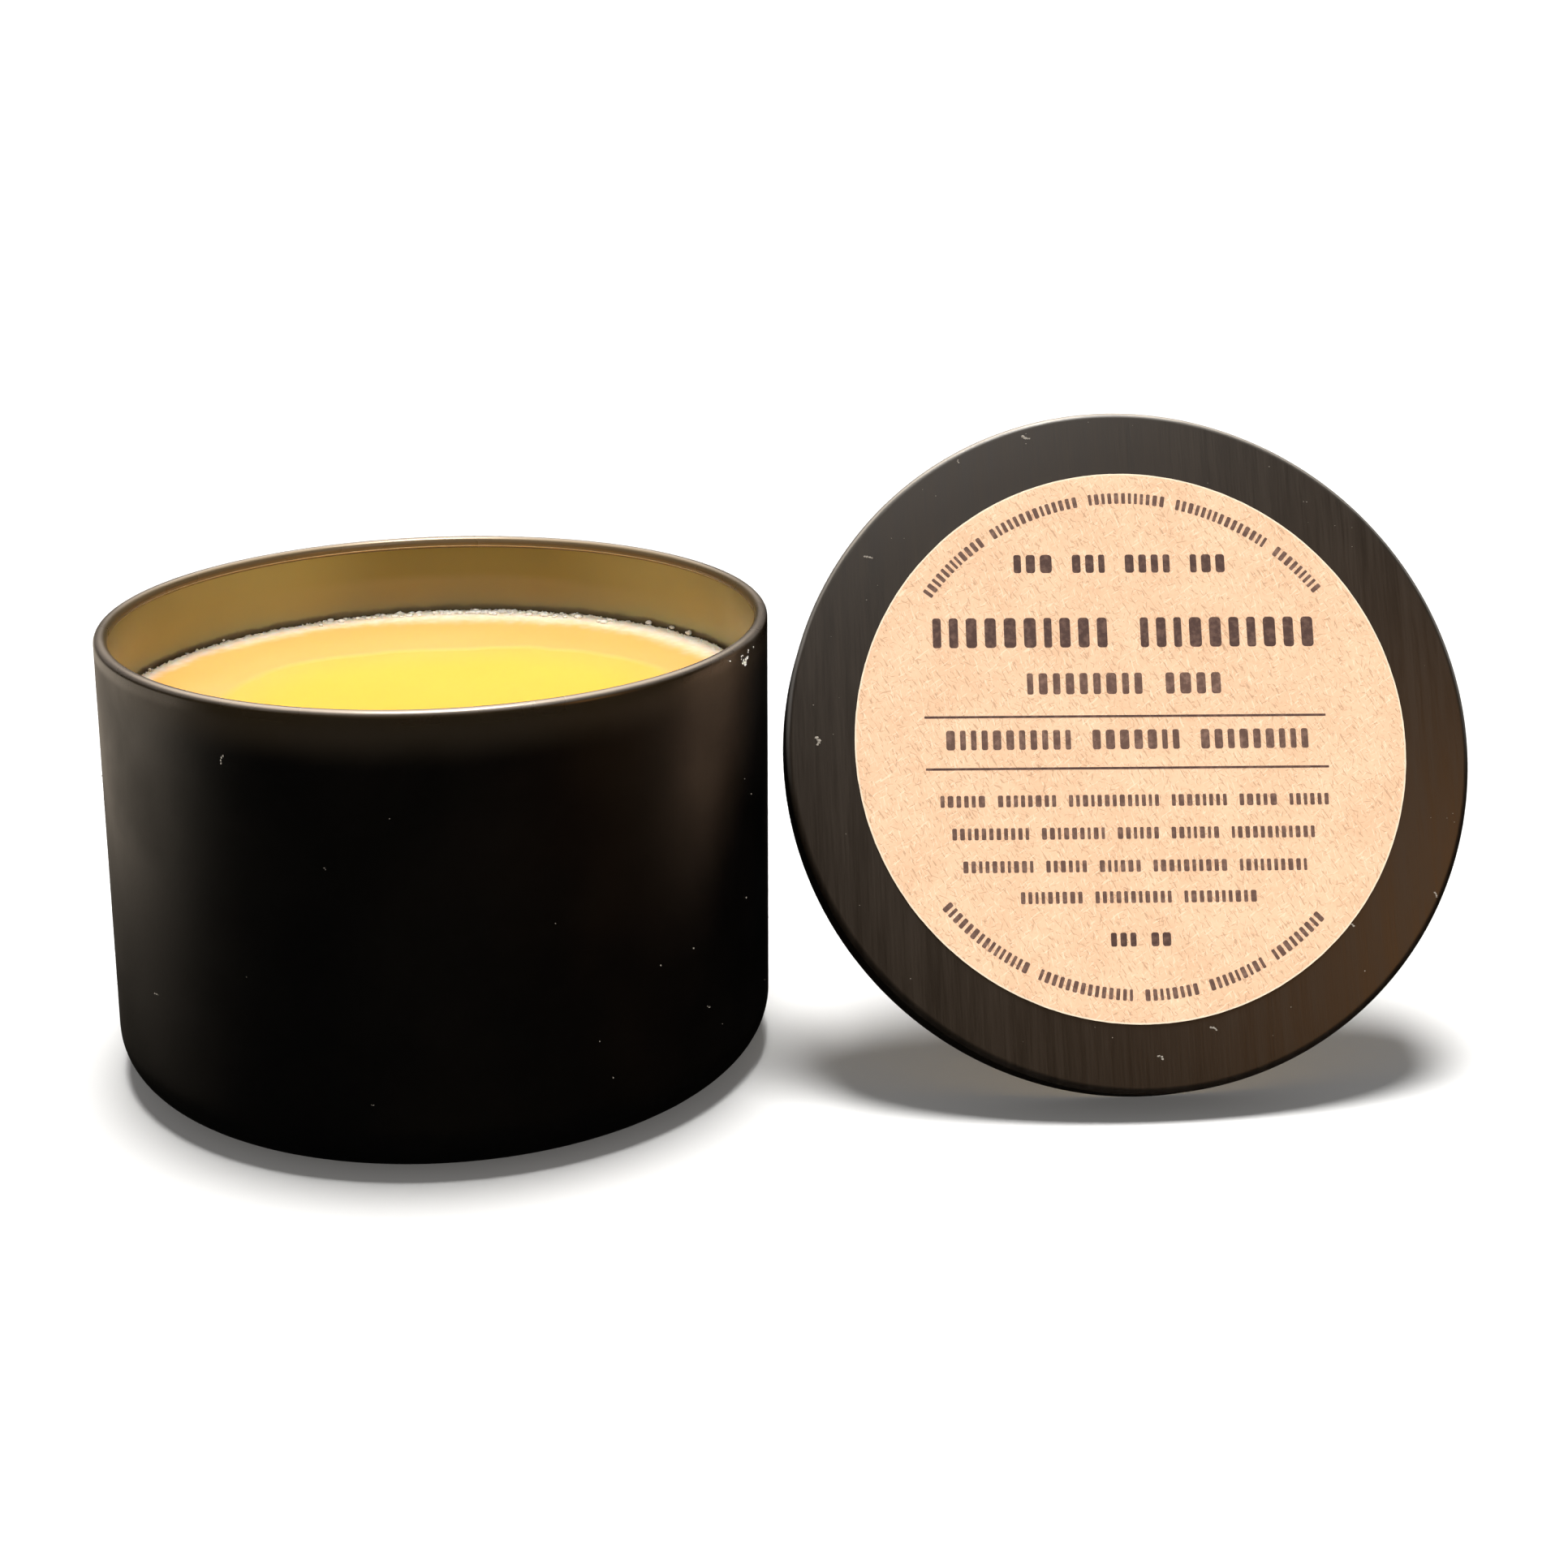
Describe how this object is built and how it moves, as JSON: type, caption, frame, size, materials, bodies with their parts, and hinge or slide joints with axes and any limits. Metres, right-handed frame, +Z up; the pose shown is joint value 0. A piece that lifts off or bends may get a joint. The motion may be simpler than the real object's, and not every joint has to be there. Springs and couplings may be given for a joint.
{
  "type": "shoe polish tin",
  "caption": "Round seamless metal tin of solid polish, open, with its labelled slip-on lid standing on edge beside it.",
  "frame": {"origin": "centre of the tin's underside, on the plane of its standing ring", "axes": "+Z up along the tin's axis, out of its mouth; +X towards the lid; the lid's label faces -Y and up"},
  "size_m": [0.1532, 0.075, 0.0712],
  "materials": {
    "tin_lacquer": "satin",
    "polish": "satin",
    "lid_lacquer": "satin",
    "label_paper": "matte"
  },
  "bodies": {
    "tin": {"tin_body": "tin_lacquer", "polish": "polish"},
    "lid": {"lid_shell": "lid_lacquer", "lid_label": "label_paper"}
  },
  "joints": [
    {"name": "lid_swing", "type": "hinge", "parent": "tin", "child": "lid", "pos_m": [0.04146, 0.00648, 0.05472], "axis": [0.206, -0.5039, 0.8388], "range_deg": [0, 212.62]}
  ]
}
